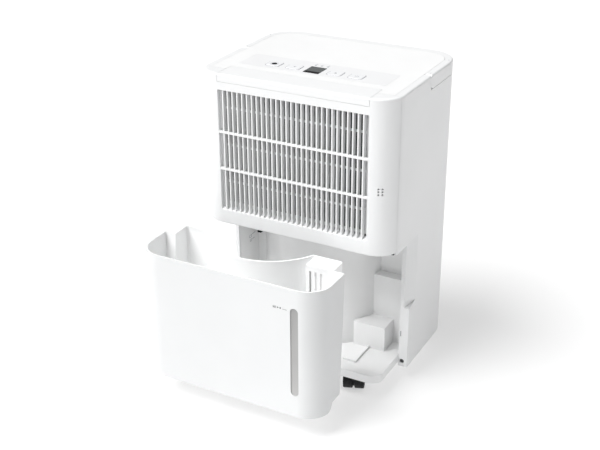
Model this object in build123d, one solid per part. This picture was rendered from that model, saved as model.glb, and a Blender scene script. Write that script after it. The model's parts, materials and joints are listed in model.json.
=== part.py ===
from build123d import *
import math
import os

# A small compressor dehumidifier on casters, with its water tank drawn out in front.
# Millimetres. +Z is up, the front faces -Y, +X is the right-hand side seen from the front.
# The origin is on the floor, under the middle of the body.

# ---------------------------------------------------------------- body form
WIDTH, DEPTH, HEIGHT = 272.0, 218.0, 420.0
HALF, FRONT, REAR = WIDTH / 2, -DEPTH / 2, DEPTH / 2
WALL = 2.5
TOP_WALL = 3.0
FRONT_CORNER = 31.6
REAR_CORNER = 40.7
TOP_EDGE_ROUND = 2.5
SEAM = 0.3                      # visible gap between two casings


def back(distance):
    """Y of a place that lies this far behind the front face."""
    return FRONT + distance


# Front cover, intake grille and filter
COVER_DEPTH = 22.4
COVER_BOTTOM = 216.1
OPENING_HALF = 103.8
OPENING_LOW, OPENING_HIGH = 236.0, 399.1
OPENING_SLOPE = 20.0            # degrees that the lower edge of the opening rises to the rear
SLEEVE_DEPTH = 8.2
SLAT_COUNT = 29
SLAT_WIDTH, SLAT_DEPTH = 1.8, 7.2
BAR_HEIGHT = 3.0
BAR_LEVELS = (343.4, 293.5)
FILTER_FRONT, FILTER_REAR = 8.7, 11.7
FILTER_LOW = 241.0
FILTER_RIB_X = 59.5
FILTER_BAR_LEVELS = (374.0, 324.3, 273.7)
GRIP_DEPTH, GRIP_LOW = 35.0, 409.8
SENSOR_HOLE_X = (117.0, 121.3)
SENSOR_HOLE_Z = (299.4, 303.2, 306.8)
SENSOR_HOLE_R = 1.1

# Side panels and the finger scoops that the tank is gripped through
SIDE_BOTTOM = 21.0
SIDE_FRONT = 71.3
SCOOP_REAR, SCOOP_LOW, SCOOP_HIGH = 90.9, 112.0, 213.7
SCOOP_SILL_RISE = 5.5
SCOOP_CORNER = 9.0
SCOOP_EDGE_X = 129.0

# Carry handle, a bail round the rear half of the top
HANDLE_FRONT, HANDLE_LOW = 112.5, 402.0
HANDLE_ARM, HANDLE_BAND = 10.0, 14.0
HANDLE_INNER_CORNER = 28.0
PIVOT_BACK, PIVOT_BELOW_TOP = 4.5, 4.7
PIVOT_R, RUNNING_GAP = 1.6, 0.05

# Control panel
PANEL_HALF, PANEL_FRONT, PANEL_REAR = 102.0, 49.0, 96.0
PANEL_CENTRE_X, BUTTON_PITCH, BUTTON_Y = -1.5, 28.8, 66.4
BUTTON_SIZE, BUTTON_PROUD, BUTTON_TRAVEL = (18.8, 17.0), 0.6, 0.8
DISPLAY_SIZE = (21.6, 25.3)
LAMP_PITCH, LAMP_Y, LAMP_R = 8.5, 85.5, 1.5
MODE_LENS_R, MODE_LENS_DEPTH = 3.6, 0.8

# Tank bay
BAY_HALF = 122.8
SHELF_TOP, SHELF_THICK, SHELF_FRONT = 38.0, 11.5, 5.0
SHELF_HALF, SHELF_CORNER = 123.0, 17.0
HOUSING_X, HOUSING_BACK, HOUSING_R = -4.0, 130.5, 83.0
LEFT_WALL_BACK = 124.0
BLOCK_FRONT, BLOCK_TOP, LEDGE_BACK = 98.0, 136.0, 112.0
PLINTH = (57.0, 103.0, 69.0, 74.0)   # x from, x to, distance behind the front, top
RIB_X, RIB_BACK, RIB_HEIGHT, RIB_THICK = (62.0, 81.0), (26.0, 69.0), 3.0, 2.5
BASE_SKIRT = 3.0
SIDE_FIT = 0.3                       # play between the casing and what is fitted inside it

# Tank, in its closed place
TANK_HALF, TANK_CORNER, TANK_WALL = 130.2, 31.7, 2.4
TANK_LOW, TANK_HIGH = 38.3, 212.7
TANK_EAR_TOP, TANK_EAR_FOOT = 65.5, 55.0
TANK_REAR = 92.0
TANK_REAR_LEFT, TANK_REAR_RIGHT, TANK_REAR_CHAMFER = -115.0, 115.0, 2.5
TANK_ARC_GAP = 3.5
TANK_NOTCH = (50.0, 62.0, 79.0)      # x from, distance behind the front, top
TANK_FOOT_ROUND = 10.0
LIP_LOW, LIP_WALL, LIP_BACK, LIP_EDGE = 33.6, 1.6, 34.0, 1.2   # the lip that hides the shelf's edge
WINDOW_X, WINDOW_LOW, WINDOW_HIGH, WINDOW_WIDTH = 95.6, 65.0, 188.0, 10.5
RIB_CLEARANCE = (58.0, 93.0, 24.0, 43.0)             # x from, x to, distance behind the front, top
CAGE = (77.0, 112.4, 66.0, 89.5, 150.0, 211.9)       # x from, x to, behind the front from, to, z from, to
CAGE_WALL, CAGE_CORNER = 1.8, 3.5
CAGE_SLOTS, CAGE_SLOT_WIDTH = (81.5, 89.5, 96.5), 2.8
FLOAT_HEIGHT = 30.0
MAGNET_R, MAGNET_HEIGHT = 4.0, 5.0
TANK_DRAWN_OUT = (-31.5, -114.0)     # where the tank stands at rest, from its closed place

# Casters
CASTER_PLACES = {
    "front_right": (76.7, back(32.0), 201.0),
    "front_left": (-76.7, back(32.0), 168.0),
    "rear_right": (95.0, back(184.0), 34.0),
    "rear_left": (-95.0, back(184.0), -28.0),
}
WHEEL_R, WHEEL_WIDTH, WHEEL_GAP, CASTER_TRAIL = 12.5, 13.0, 2.4, 6.5
STEM_R, AXLE_R, SOCKET_R = 4.0, 2.0, 7.0
CASTER_WEB, WHEEL_CLEARANCE, WHEEL_EDGE = 0.8, 0.5, 1.6      # half the web, gap round a wheel, its round edge

# Case screws
SCREW_HEAD_R, SCREW_HEAD_H, SCREW_SHANK_R, SCREW_SHANK_L = 3.0, 1.8, 1.5, 8.0
BOSS_R, SCREW_SINK = 4.6, 3.0
SIDE_SCREW = (128.2, 29.0)           # x, z
REAR_SCREWS = ((90.0, 92.0), (90.0, 300.0))

# Rear face
OUTLET_HALF, OUTLET_LOW, OUTLET_HIGH = 82.0, 252.0, 388.0
LOUVRE_PITCH, LOUVRE_COUNT, OUTLET_POSTS = 8.0, 15, (-41.0, 0.0, 41.0)
DRAIN_X, DRAIN_Z, DRAIN_POCKET_R = 70.0, 150.0, 17.0
SPIGOT_R, SPIGOT_BORE_R, SPIGOT_SINK, POCKET_DEPTH = 7.0, 5.0, 1.5, 15.0
GLAND_X, GLAND_Z, GLAND_R, LEAD_HOLE_R = -84.0, 66.0, 9.0, 4.2

# Inside
DIVIDER_LOW, DIVIDER_THICK = 216.4, 3.0
DIVIDER_TOP = DIVIDER_LOW + DIVIDER_THICK
FAN_Z, FAN_R, FAN_TIP_GAP, FAN_HUB_R, FAN_SHAFT_R = 318.0, 68.0, 3.5, 20.0, 4.0
FAN_BLADES, BLADE_PITCH_ANGLE = 7, 38.0
FAN_FRONT, FAN_REAR = 80.0, 102.0    # behind the front
MOTOR_R, MOTOR_FRONT, MOTOR_REAR = 36.0, 108.0, 150.0
SPOUT_X, SPOUT_BACK, SPOUT_R, SPOUT_WALL = 45.0, 33.0, 6.5, 1.8
PIPE_FEET = ((-34.0, back(112.0)), (28.0, back(112.0)))
PIPE_R, PIPE_BEND, PIPE_LEVELS = 3.2, 7.0, (228.0, 262.0)
COIL_HALF, COIL_LOW, COIL_HIGH = 92.0, 236.0, 396.0
EVAPORATOR_Y, CONDENSER_Y = (18.0, 38.0), (44.0, 66.0)
COIL_FINS, COIL_FIN = 21, 1.0
COIL_ROWS, COIL_FIRST_ROW, COIL_ROW_PITCH = 6, 17.0, 25.0
COIL_TUBE_INSET, COIL_TUBE_END, COIL_BEND, COIL_BEND_HALF = 5.0, 7.0, 3.8, 2.4
POT_R, POT_HEIGHT, POT_DOME, POT_WALL = 54.0, 140.0, 22.0, 10.0
POT_LOW = SHELF_TOP + 9.0
MOUNTS = ((30.0, 50.0), (150.0, 50.0), (270.0, 34.0))        # angle and distance from the pot's axis
MOUNT_R, MOUNT_NECK_R = 7.5, 5.0
BOARD_TOP = HEIGHT - 10.0


# ---------------------------------------------------------------- helpers
def block(x0, x1, y0, y1, z0, z1):
    return Pos((x0 + x1) / 2, (y0 + y1) / 2, (z0 + z1) / 2) * Box(x1 - x0, y1 - y0, z1 - z0)


def plan(half, y0, y1, r_front, r_rear):
    """A rectangle in plan with its front and rear corners rounded."""
    face = Pos(0, (y0 + y1) / 2) * Rectangle(2 * half, y1 - y0)
    if r_front:
        face = fillet(face.vertices().group_by(Axis.Y)[0], r_front)
    if r_rear:
        face = fillet(face.vertices().group_by(Axis.Y)[-1], r_rear)
    return face


def slab(face, z0, z1):
    return extrude(Pos(0, 0, z0) * face, z1 - z0)


def polygon(points):
    return make_face(Polyline(*points, close=True))


def side_prism(points, x0, x1):
    """Extrudes a (y, z) outline along X."""
    face = Plane.YZ * polygon(points)
    return Pos(x0, 0, 0) * extrude(face, x1 - x0)


def rod(radius, start, end):
    """A cylinder between two points."""
    a, b = Vector(*start), Vector(*end)
    axis = Plane(origin=a, z_dir=b - a)
    return axis * Cylinder(radius, (b - a).length, align=(Align.CENTER, Align.CENTER, Align.MIN))


def tube(outer, inner, start, end):
    return rod(outer, start, end) - rod(inner, start, end)


def group(solids):
    return Compound(children=[s for part in solids for s in part.solids()])


def both_sides(solid):
    return [solid, mirror(solid, Plane.YZ)]


def body_form(inset=0.0, low=0.0, high=HEIGHT):
    """The rounded block that all outer casings are cut from, or its inside."""
    face = plan(HALF - inset, FRONT + inset, REAR - inset, FRONT_CORNER - inset, REAR_CORNER - inset)
    return slab(face, low, high)


def rounded_form(low):
    """The outer block with its top edge rounded."""
    form = body_form(0, low, HEIGHT)
    return fillet(form.faces().sort_by(Axis.Z)[-1].edges(), TOP_EDGE_ROUND)


def behind(distance, z0=-10.0, z1=HEIGHT + 10.0):
    """All the space behind a plane, to cut a casing back to it."""
    return block(-HALF - 20, HALF + 20, back(distance), REAR + 20, z0, z1)


# ---------------------------------------------------------------- outer casings
def make_front_cover():
    cover = fillet(rounded_form(COVER_BOTTOM).faces().sort_by(Axis.Z)[0].edges(), 2.0)
    cover -= body_form(WALL, COVER_BOTTOM + WALL, HEIGHT - TOP_WALL)
    cover -= behind(COVER_DEPTH)
    sleeve = block(-OPENING_HALF - 2, OPENING_HALF + 2, FRONT + 1, back(SLEEVE_DEPTH),
                   OPENING_LOW - 2, OPENING_HIGH + 2)
    cover += sleeve
    cover -= block(-OPENING_HALF, OPENING_HALF, FRONT - 5, back(COVER_DEPTH), OPENING_LOW, OPENING_HIGH)
    cover += sloped_ledge()
    cover -= block(-OPENING_HALF - 0.3, OPENING_HALF + 0.3, FRONT - 5, back(COVER_DEPTH + 5),
                   GRIP_LOW - SEAM, HEIGHT + 5)
    for x in SENSOR_HOLE_X:
        for z in SENSOR_HOLE_Z:
            cover -= rod(SENSOR_HOLE_R, (x, FRONT - 1, z), (x, back(24), z))
    return cover


def sloped_ledge():
    rise = SLEEVE_DEPTH * math.tan(math.radians(OPENING_SLOPE))
    return side_prism([(FRONT, OPENING_LOW - 2), (back(SLEEVE_DEPTH), OPENING_LOW - 2),
                       (back(SLEEVE_DEPTH), OPENING_LOW + rise), (FRONT, OPENING_LOW)],
                      -OPENING_HALF, OPENING_HALF)


def make_intake_grille():
    pitch = 2 * OPENING_HALF / (SLAT_COUNT + 1)
    edge, rim = OPENING_HALF - 0.15, 1.3
    low, high = OPENING_LOW + 0.15, OPENING_HIGH - 0.15
    grille = block(-edge, edge, back(5.2), back(7.6), low, high)
    grille -= block(-edge + rim, edge - rim, FRONT, back(10), low + rim, high - rim)
    for i in range(SLAT_COUNT):
        x = -OPENING_HALF + pitch * (i + 1)
        grille += block(x - SLAT_WIDTH / 2, x + SLAT_WIDTH / 2, back(0.3), back(0.3 + SLAT_DEPTH), low, high)
    for z in BAR_LEVELS:
        grille += block(-edge, edge, back(0), back(3), z - BAR_HEIGHT / 2, z + BAR_HEIGHT / 2)
    return grille - sloped_ledge()


def make_filter_grip():
    grip = rounded_form(GRIP_LOW) & block(-OPENING_HALF, OPENING_HALF, FRONT - 1, back(GRIP_DEPTH),
                                          GRIP_LOW, HEIGHT + 1)
    grip -= block(-OPENING_HALF + 2, OPENING_HALF - 2, back(WALL), back(GRIP_DEPTH + 5),
                  GRIP_LOW - 5, HEIGHT - TOP_WALL)
    return grip


def make_filter_frame():
    """The frame hangs under the grip, and its ribs hold the mesh from the front."""
    outer, rim, high = OPENING_HALF - 2.3, 4.0, HEIGHT - TOP_WALL
    frame = block(-outer, outer, back(FILTER_FRONT), back(FILTER_REAR), FILTER_LOW, high)
    frame -= block(-outer + rim, outer - rim, FRONT, back(30), FILTER_LOW + rim, OPENING_HIGH + 3)
    inner = outer - rim
    for x in (-FILTER_RIB_X, FILTER_RIB_X):
        frame += block(x - 1.6, x + 1.6, back(FILTER_FRONT), back(FILTER_FRONT + 1.2),
                       FILTER_LOW, OPENING_HIGH + 4)
    for z in FILTER_BAR_LEVELS:
        frame += block(-inner - 1, inner + 1, back(FILTER_FRONT), back(FILTER_FRONT + 1.2), z - 1.5, z + 1.5)
    return frame


def make_filter_mesh():
    inner = OPENING_HALF - 2.3 - 4.0
    return block(-inner, inner, back(FILTER_FRONT + 1.2), back(FILTER_FRONT + 1.7),
                 FILTER_LOW + 4.0, OPENING_HIGH + 3)


def handle_opening(inset, z0, z1):
    """The block inside the handle's U, with the given extra margin."""
    face = plan(HALF - HANDLE_ARM - inset, back(20), REAR - HANDLE_BAND - inset,
                0, HANDLE_INNER_CORNER - inset)
    return slab(face, z0, z1)


def scoop_profile():
    """Side view of what is open beside the tank: the tank's own side, and the finger scoop behind it."""
    far = -30.0
    outline = polygon([(back(far), SIDE_BOTTOM + far), (back(SIDE_FRONT), SIDE_BOTTOM + far),
                       (back(SIDE_FRONT), SCOOP_LOW), (back(SCOOP_REAR), SCOOP_LOW + SCOOP_SILL_RISE),
                       (back(SCOOP_REAR), SCOOP_HIGH), (back(far), SCOOP_HIGH)])
    return Plane.YZ * fillet(outline.vertices().sort_by(Axis.Y)[-1:], SCOOP_CORNER)


def make_cabinet_shell():
    form = rounded_form(SIDE_BOTTOM)
    shell = form - body_form(WALL, SIDE_BOTTOM - 5, HEIGHT + 5)
    shell &= behind(COVER_DEPTH + SEAM)
    # the side rims carry on inwards over the top, in front of the handle
    rims = form & block(-HALF, HALF, back(COVER_DEPTH + SEAM), back(HANDLE_FRONT - SEAM),
                        HEIGHT - TOP_WALL, HEIGHT)
    shell += rims - block(-HALF + HANDLE_ARM, HALF - HANDLE_ARM, FRONT, REAR, HEIGHT - 20, HEIGHT + 5)
    # the handle's room, with a ledge under it
    shell -= behind(HANDLE_FRONT - SEAM, HANDLE_LOW - 0.5)
    ledge = form & block(-HALF, HALF, back(HANDLE_FRONT - 2), REAR, HANDLE_LOW - 3, HANDLE_LOW - 0.5)
    shell += ledge - handle_opening(3.4, HANDLE_LOW - 20, HANDLE_LOW + 20)
    # open beside the tank
    wings = extrude(scoop_profile(), HALF + 20, both=True)
    shell -= wings
    for wing in both_sides(make_side_edge()):
        shell += wing
    # rear openings
    shell -= block(-OUTLET_HALF, OUTLET_HALF, REAR - 10, REAR + 5, OUTLET_LOW, OUTLET_HIGH)
    shell -= rod(DRAIN_POCKET_R, (DRAIN_X, REAR - 10, DRAIN_Z), (DRAIN_X, REAR + 5, DRAIN_Z))
    shell -= rod(GLAND_R, (GLAND_X, REAR - 10, GLAND_Z), (GLAND_X, REAR + 5, GLAND_Z))
    for place in screw_places():
        shell += screw_boss(*place)
        shell -= screw_seat(*place)
    return shell


def make_side_edge():
    """The folded front edge of the right side: a flat strip, and the slanted back of the scoop."""
    strip = block(BAY_HALF + SEAM, SCOOP_EDGE_X, back(SIDE_FRONT), back(SIDE_FRONT + WALL),
                  SIDE_BOTTOM, DIVIDER_LOW - 0.2)
    foot = block(SCOOP_EDGE_X, HALF - 1, back(SIDE_FRONT), back(SIDE_FRONT + WALL), SIDE_BOTTOM, SCOOP_LOW)
    face = polygon([(SCOOP_EDGE_X - 2, back(SIDE_FRONT)), (SCOOP_EDGE_X, back(SIDE_FRONT)),
                    (HALF, back(SCOOP_REAR)), (HALF, back(SCOOP_REAR + 3)),
                    (HALF - WALL, back(SCOOP_REAR + 3)), (SCOOP_EDGE_X - 2, back(SIDE_FRONT + WALL))])
    slant = slab(face, SCOOP_LOW - 4, DIVIDER_LOW - 0.2)
    sill = side_prism([(back(SIDE_FRONT), SCOOP_LOW - WALL), (back(SIDE_FRONT), SCOOP_LOW),
                       (back(SCOOP_REAR), SCOOP_LOW + SCOOP_SILL_RISE),
                       (back(SCOOP_REAR), SCOOP_LOW + SCOOP_SILL_RISE - WALL)], SCOOP_EDGE_X, HALF - 0.5)
    return strip + foot + slant + sill


# ---------------------------------------------------------------- fasteners
def screw_places():
    """(x, y of the face, z, direction that the screw goes in along Y) of every case screw."""
    front_ones = [(s * SIDE_SCREW[0], back(SIDE_FRONT), SIDE_SCREW[1], 1) for s in (-1, 1)]
    rear_ones = [(s * x, REAR, z, -1) for s in (-1, 1) for x, z in REAR_SCREWS]
    return front_ones + rear_ones


def screw_boss(x, y, z, way):
    return rod(BOSS_R, (x, y + way * 0.5, z), (x, y + way * (SCREW_SINK + 8), z))


def screw_seat(x, y, z, way):
    sink = rod(SCREW_HEAD_R + 0.3, (x, y - way * 4, z), (x, y + way * SCREW_SINK, z))
    return sink + rod(SCREW_SHANK_R, (x, y, z), (x, y + way * (SCREW_SINK + 9), z))


def make_case_screw(x, y, z, way):
    seat = y + way * SCREW_SINK
    head = rod(SCREW_HEAD_R, (x, seat, z), (x, seat - way * SCREW_HEAD_H, z))
    shank = rod(SCREW_SHANK_R, (x, seat, z), (x, seat + way * SCREW_SHANK_L, z))
    face = seat - way * SCREW_HEAD_H
    cross = [block(x - a, x + a, min(face, face + way * 0.9), max(face, face + way * 0.9), z - b, z + b)
             for a, b in ((0.35, 1.8), (1.8, 0.35))]
    return head + shank - cross[0] - cross[1]


# ---------------------------------------------------------------- top
def make_top_cover():
    high_edge = handle_opening(SEAM / 2, HEIGHT - TOP_WALL, HEIGHT) & behind(COVER_DEPTH + SEAM)
    high_edge -= block(-OPENING_HALF - SEAM, OPENING_HALF + SEAM, FRONT, back(GRIP_DEPTH + SEAM),
                       HEIGHT - 10, HEIGHT + 5)
    skirt = handle_opening(SEAM, HANDLE_LOW - 0.4, HEIGHT - 1) - handle_opening(WALL, 300, HEIGHT + 5)
    cover = high_edge + (skirt & behind(HANDLE_FRONT - 6))
    # a shelf under the filter's grip, behind the filter's slot
    cover += block(-OPENING_HALF + 3, OPENING_HALF - 3, back(16), back(GRIP_DEPTH + 4),
                   HEIGHT - 2 * TOP_WALL, HEIGHT - TOP_WALL - 0.2)
    cover += block(-OPENING_HALF + 3, OPENING_HALF - 3, back(GRIP_DEPTH + SEAM), back(GRIP_DEPTH + 4),
                   HEIGHT - 2 * TOP_WALL, HEIGHT - 1)
    cover -= panel_plate(0.1, HEIGHT - 0.7, HEIGHT + 5)
    for x in button_centres():
        cover -= button_block(x, 0.25, HEIGHT - 10, HEIGHT + 5)
    cover -= display_block(0.15, HEIGHT - 10, HEIGHT + 5)
    for x in lamp_centres():
        cover -= rod(LAMP_R + 0.1, (x, back(LAMP_Y), HEIGHT - 10), (x, back(LAMP_Y), HEIGHT + 5))
    for s in (-1, 1):
        y, z = pivot_yz()
        cover -= rod(PIVOT_R, (s * 110, y, z), (s * HALF, y, z))
    return cover


def panel_plate(margin, z0, z1):
    face = Pos(0, back((PANEL_FRONT + PANEL_REAR) / 2)) * RectangleRounded(
        2 * (PANEL_HALF + margin), PANEL_REAR - PANEL_FRONT + 2 * margin, 3.0)
    return slab(face, z0, z1)


def button_centres():
    return [PANEL_CENTRE_X + BUTTON_PITCH * i for i in (-2, -1, 1, 2)]


def lamp_centres():
    return [PANEL_CENTRE_X + LAMP_PITCH * i for i in (-1, 0, 1)]


def button_block(x, margin, z0, z1):
    face = Pos(x, back(BUTTON_Y)) * RectangleRounded(
        BUTTON_SIZE[0] + 2 * margin, BUTTON_SIZE[1] + 2 * margin, 3.2 + margin)
    return slab(face, z0, z1)


def display_block(margin, z0, z1):
    face = Pos(PANEL_CENTRE_X, back(BUTTON_Y)) * RectangleRounded(
        DISPLAY_SIZE[0] + 2 * margin, DISPLAY_SIZE[1] + 2 * margin, 0.8 + margin)
    return slab(face, z0, z1)


def make_control_panel():
    plate = panel_plate(0, HEIGHT - 0.6, HEIGHT + 0.05)
    for x in button_centres():
        plate -= button_block(x, 0.25, HEIGHT - 5, HEIGHT + 5)
    plate -= display_block(0.15, HEIGHT - 5, HEIGHT + 5)
    for x in lamp_centres():
        plate -= rod(LAMP_R + 0.1, (x, back(LAMP_Y), HEIGHT - 5), (x, back(LAMP_Y), HEIGHT + 5))
    return plate


def make_button(x):
    """A key cap, with a flange under the cover that keeps it in."""
    cap = button_block(x, 0, HEIGHT - TOP_WALL - 0.6, HEIGHT + BUTTON_PROUD)
    cap = fillet(cap.faces().sort_by(Axis.Z)[-1].edges(), 0.5)
    flange = button_block(x, 1.2, HEIGHT - TOP_WALL - 1.4, HEIGHT - TOP_WALL - 0.2)
    if x == button_centres()[0]:
        cap -= rod(MODE_LENS_R, (x, back(BUTTON_Y), HEIGHT - MODE_LENS_DEPTH),
                   (x, back(BUTTON_Y), HEIGHT + 5))
    return cap + flange


def make_mode_lens():
    x = button_centres()[0]
    return rod(MODE_LENS_R, (x, back(BUTTON_Y), HEIGHT - MODE_LENS_DEPTH),
               (x, back(BUTTON_Y), HEIGHT + BUTTON_PROUD + 0.1))


def make_display_window():
    return display_block(0, HEIGHT - TOP_WALL, HEIGHT + 0.3)


def make_indicator_lamps():
    return group([rod(LAMP_R, (x, back(LAMP_Y), HEIGHT - 2.5), (x, back(LAMP_Y), HEIGHT + 0.1))
                  for x in lamp_centres()])


def make_control_board():
    """The board under the panel, with a switch under each key and the display's module."""
    board = block(-88, 86, back(50), back(94), BOARD_TOP - 1.6, BOARD_TOP)
    for x in button_centres():
        board += block(x - 3, x + 3, back(BUTTON_Y) - 3, back(BUTTON_Y) + 3, BOARD_TOP, BOARD_TOP + 3.0)
        board += rod(1.7, (x, back(BUTTON_Y), BOARD_TOP + 2), (x, back(BUTTON_Y), BOARD_TOP + 4.2))
    board += block(PANEL_CENTRE_X - 9, PANEL_CENTRE_X + 9, back(56), back(77), BOARD_TOP, BOARD_TOP + 6.5)
    for x in (-82, 80):
        board += block(x - 3, x + 3, back(70), back(76), BOARD_TOP, HEIGHT - TOP_WALL)
    return board


# ---------------------------------------------------------------- carry handle
def pivot_yz():
    return back(HANDLE_FRONT + PIVOT_BACK), HEIGHT - PIVOT_BELOW_TOP


def make_carry_handle():
    handle = rounded_form(HANDLE_LOW) - handle_opening(-SEAM / 2, HANDLE_LOW - 5, HEIGHT + 5)
    handle &= behind(HANDLE_FRONT)
    y, z = pivot_yz()
    # round the arms' front ends, so that they turn in their recess
    for radius, low, high in ((PIVOT_BELOW_TOP, z, HEIGHT + 1), (6.0, HANDLE_LOW - 1, HANDLE_LOW + 6.0)):
        centre_z = z if low == z else HANDLE_LOW + radius
        corner = block(-HALF - 1, HALF + 1, back(HANDLE_FRONT) - 1, back(HANDLE_FRONT) + radius, low, high)
        corner -= rod(radius, (-HALF - 2, back(HANDLE_FRONT) + radius, centre_z),
                      (HALF + 2, back(HANDLE_FRONT) + radius, centre_z))
        handle -= corner
    for s in (-1, 1):
        handle -= rod(PIVOT_R + RUNNING_GAP, (s * 110, y, z), (s * (HALF - 3.5), y, z))
    # a notch for the fingers, under the outer edge of the rear band
    return handle - block(-45, 45, REAR - 9, REAR + 1, HANDLE_LOW - 1, HANDLE_LOW + 5.5)


def make_handle_pins():
    y, z = pivot_yz()
    return group(both_sides(rod(PIVOT_R, (HALF - HANDLE_ARM - WALL - 4, y, z), (HALF - 4, y, z))))


# ---------------------------------------------------------------- tank bay and base
def housing_axis():
    return HOUSING_X, back(HOUSING_BACK)


def bay_plan(rear_of_block, grow):
    """The bay in plan: straight sides, and the round compressor housing that stands into it."""
    cx, cy = housing_axis()
    face = polygon([(-BAY_HALF - grow, FRONT), (BAY_HALF + grow, FRONT),
                    (BAY_HALF + grow, back(rear_of_block) + grow), (cx + 40, back(rear_of_block) + grow),
                    (cx + 40, cy), (-BAY_HALF + 12, cy), (-BAY_HALF + 12, back(LEFT_WALL_BACK) + grow),
                    (-BAY_HALF - grow, back(LEFT_WALL_BACK) + grow)])
    radius = HOUSING_R - grow
    # a flat cheek runs from the left rear corner to the round housing
    corner = Vector(-BAY_HALF + 12 - grow / 2, back(LEFT_WALL_BACK) + grow)
    reach = (Vector(cx, cy) - corner).length
    turn = math.asin(radius / reach)
    toward = math.atan2(cy - corner.Y, cx - corner.X) - turn
    touch = Vector(corner.X + math.sqrt(reach ** 2 - radius ** 2) * math.cos(toward),
                   corner.Y + math.sqrt(reach ** 2 - radius ** 2) * math.sin(toward))
    cheek = polygon([(corner.X, corner.Y), (touch.X, touch.Y), (cx, cy), (cx, cy + 40), (corner.X, cy + 40)])
    return face - cheek - Pos(cx, cy) * Circle(radius)


def make_bay_liner():
    """The bay's side and rear walls, the round housing, the ledge and the plinth."""
    z0, z1 = SHELF_TOP, DIVIDER_LOW - 0.2
    low = slab(bay_plan(BLOCK_FRONT, WALL), z0, BLOCK_TOP)
    low -= slab(bay_plan(BLOCK_FRONT, 0), z0 - 1, BLOCK_TOP + 1)
    high = slab(bay_plan(LEDGE_BACK, WALL), BLOCK_TOP - WALL, z1)
    high -= slab(bay_plan(LEDGE_BACK, 0), BLOCK_TOP, z1 + 1)
    high -= slab(bay_plan(BLOCK_FRONT, 0), z0, z1 + 1)
    liner = low + high
    x0, x1, front, top = PLINTH
    plinth = block(x0, x1, back(front), back(BLOCK_FRONT + 1), z0, top)
    plinth -= block(x0 + WALL, x1 - WALL, back(front + WALL), back(BLOCK_FRONT + 5), z0 - 1, top - WALL)
    # the plinth stays out of the round housing
    liner += plinth - slab(Pos(*housing_axis()) * Circle(HOUSING_R - WALL), z0 - 1, top + 1)
    # the side walls start behind the cabinet's folded edges
    for side in both_sides(block(BAY_HALF - 0.1, HALF + 1, FRONT - 1, back(SIDE_FRONT + WALL + SEAM),
                                 z0 - 1, z1 + 1)):
        liner -= side
    return liner


def make_base_tray():
    """The shelf that the tank stands on, carried back under the whole body, with a skirt."""
    fit = WALL + SIDE_FIT
    front_part = plan(SHELF_HALF, back(SHELF_FRONT), back(SIDE_FRONT - SEAM), SHELF_CORNER, 0)
    neck = plan(BAY_HALF - SEAM, back(SIDE_FRONT - 10), back(SIDE_FRONT + 20), 0, 0)
    rear_part = plan(HALF - fit, back(SIDE_FRONT + WALL + 0.5), REAR - fit, 0, REAR_CORNER - fit)
    low, high = SHELF_TOP - SHELF_THICK, SHELF_TOP
    tray = slab(front_part, low, high) + slab(neck, low, high) + slab(rear_part, low, high)
    inside = plan(BAY_HALF - SEAM - BASE_SKIRT, back(SHELF_FRONT + BASE_SKIRT), back(SIDE_FRONT + 20),
                  SHELF_CORNER - BASE_SKIRT, 0)
    fit += BASE_SKIRT
    inside_rear = plan(HALF - fit, back(SIDE_FRONT + WALL + 0.5 + BASE_SKIRT), REAR - fit,
                       0, REAR_CORNER - fit)
    tray -= slab(inside, low - 1, high - BASE_SKIRT) + slab(inside_rear, low - 1, high - BASE_SKIRT)
    # a raised rib guides the tank
    (x0, x1), (front, rear), rib_top = RIB_X, RIB_BACK, SHELF_TOP + RIB_HEIGHT
    tray += block(x0, x1, back(front), back(front + RIB_THICK), high - 1, rib_top)
    tray += block(x1 - RIB_THICK, x1, back(front), back(rear), high - 1, rib_top)
    for x, y, _ in CASTER_PLACES.values():
        tray -= rod(SOCKET_R, (x, y, low - 5), (x, y, SHELF_TOP - 2.0))
    for x in (-SIDE_SCREW[0], SIDE_SCREW[0]):
        tray -= rod(BOSS_R + SIDE_FIT, (x, back(60), SIDE_SCREW[1]), (x, back(90), SIDE_SCREW[1]))
    return tray


def make_caster_sockets():
    """Four plastic bushes, pressed into the base from below."""
    low, high = SHELF_TOP - SHELF_THICK, SHELF_TOP - 2.0
    bushes = []
    for x, y, _ in CASTER_PLACES.values():
        bush = rod(SOCKET_R, (x, y, low), (x, y, high))
        bushes.append(bush - rod(STEM_R + RUNNING_GAP, (x, y, low - 1), (x, y, high - 1.0)))
    return group(bushes)


def caster_frame(name):
    x, y, yaw = CASTER_PLACES[name]
    return Pos(x, y, 0) * Rot(0, 0, yaw)


def make_caster_hood(name):
    """The stem, and the web and hood that stand between and over the two wheels."""
    low = SHELF_TOP - SHELF_THICK
    stem = rod(STEM_R, (0, 0, low - 3.0), (0, 0, SHELF_TOP - 3.6))
    web = rod(9.5, (-CASTER_WEB, CASTER_TRAIL, WHEEL_R), (CASTER_WEB, CASTER_TRAIL, WHEEL_R))
    web += block(-CASTER_WEB, CASTER_WEB, -5.0, CASTER_TRAIL + 4, WHEEL_R, low - 0.4)
    shoe = rod(8.2, (0, 0, low - 2.6), (0, 0, low - 0.4))
    hood = stem + web + shoe
    hood -= rod(AXLE_R + RUNNING_GAP, (-5, CASTER_TRAIL, WHEEL_R), (5, CASTER_TRAIL, WHEEL_R))
    for side in (-1, 1):
        hood -= rod(WHEEL_R + WHEEL_CLEARANCE, (side * CASTER_WEB, CASTER_TRAIL, WHEEL_R),
                    (side * 20, CASTER_TRAIL, WHEEL_R))
    return caster_frame(name) * hood


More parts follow.
